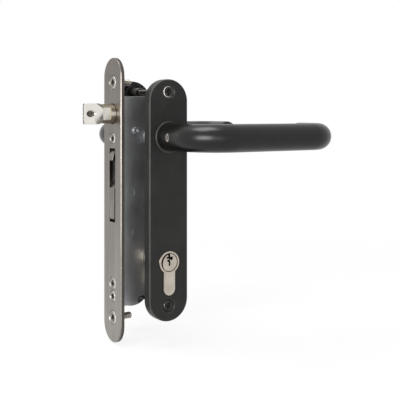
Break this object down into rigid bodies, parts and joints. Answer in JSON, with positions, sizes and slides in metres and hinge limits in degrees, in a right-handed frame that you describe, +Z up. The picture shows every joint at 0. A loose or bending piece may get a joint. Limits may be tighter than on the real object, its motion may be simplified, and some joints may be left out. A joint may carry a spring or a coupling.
{
  "type": "narrow gate lock",
  "caption": "Narrow insert gate lock with a long faceplate, adjustable latch, swinging hook bolt, profile cylinder and round-bar lever handles on long plates.",
  "frame": {"origin": "middle of the faceplate's back face, halfway between its two fixing screws", "axes": "+X from the faceplate into the lock, +Z up, the front handle at -Y"},
  "size_m": [0.1734, 0.186, 0.213],
  "materials": {
    "faceplate_steel": "brushed stainless steel",
    "case_steel": "zinc-plated sheet steel",
    "black_coating": "black satin coating",
    "black_lever": "black satin coating",
    "latch_nickel": "nickel-plated steel",
    "hook_steel": "nickel-plated steel",
    "cylinder_nickel": "satin nickel on brass",
    "zinc_steel": "zinc-plated steel",
    "spring_steel": "spring steel"
  },
  "bodies": {
    "lock": {"faceplate": "faceplate_steel", "faceplate_screws": "zinc_steel", "case_screws": "zinc_steel", "cylinder_screw": "zinc_steel", "case_shell": "case_steel", "case_pillars": "case_steel", "case_cover": "case_steel", "cover_screws": "zinc_steel", "spring_bridge": "case_steel", "latch_spring": "spring_steel", "spring_seat": "case_steel", "return_spring": "spring_steel", "hook_pin": "zinc_steel", "hook_bushes": "zinc_steel", "guide_studs": "zinc_steel", "cylinder_body": "cylinder_nickel", "plate_front": "black_coating", "plate_rear": "black_coating", "bush_front": "black_lever", "bush_rear": "black_lever", "plate_screws": "zinc_steel", "sleeve_nuts": "zinc_steel"},
    "handle": {"lever_front": "black_lever", "lever_rear": "black_lever", "spindle": "zinc_steel", "follower": "zinc_steel", "neck_rings": "spring_steel", "grub_screws": "zinc_steel"},
    "latch": {"latch_head": "latch_nickel", "latch_shank": "latch_nickel", "latch_lock_screw": "zinc_steel", "latch_tail": "zinc_steel"},
    "cylinder_core": {"plug_front": "cylinder_nickel", "cylinder_cam": "zinc_steel", "clip_front": "spring_steel"},
    "drive": {"drive_slide": "zinc_steel", "drive_pin": "zinc_steel"},
    "hook": {"hook_bolt": "hook_steel"},
    "rear_plug": {"plug_rear": "cylinder_nickel", "clip_rear": "spring_steel"}
  },
  "joints": [
    {"name": "handle_turn", "type": "hinge", "parent": "lock", "child": "handle", "pos_m": [0.027, 0, 0.0475], "axis": [0, 1, 0], "range_deg": [0, 45], "stiffness_Nm_per_rad": 0.9, "springref_deg": -34.38, "deforming": ["return_spring"]},
    {"name": "latch_slide", "type": "slide", "parent": "lock", "child": "latch", "axis": [1, 0, 0], "range_m": [0, 0.0096], "deforming": ["latch_spring"]},
    {"name": "cylinder_turn", "type": "hinge", "parent": "lock", "child": "cylinder_core", "pos_m": [0.027, 0, -0.0445], "axis": [0, 1, 0], "range_deg": [0, 120]},
    {"name": "drive_lift", "type": "slide", "parent": "lock", "child": "drive", "axis": [0, 0, 1], "range_m": [0, 0.02]},
    {"name": "hook_swing", "type": "hinge", "parent": "lock", "child": "hook", "pos_m": [0.008, 0, 0.0055], "axis": [0, -1, 0], "range_deg": [0, 60]},
    {"name": "rear_plug_turn", "type": "hinge", "parent": "lock", "child": "rear_plug", "pos_m": [0.027, 0, -0.0445], "axis": [0, 1, 0], "range_deg": [0, 120]}
  ],
  "couplings": [
    {"joint": "latch_slide", "follows": "handle_turn", "m_per_rad": 0.01222},
    {"joint": "drive_lift", "follows": "cylinder_turn", "m_per_rad": 0.009549},
    {"joint": "hook_swing", "follows": "cylinder_turn", "ratio": 0.5}
  ]
}
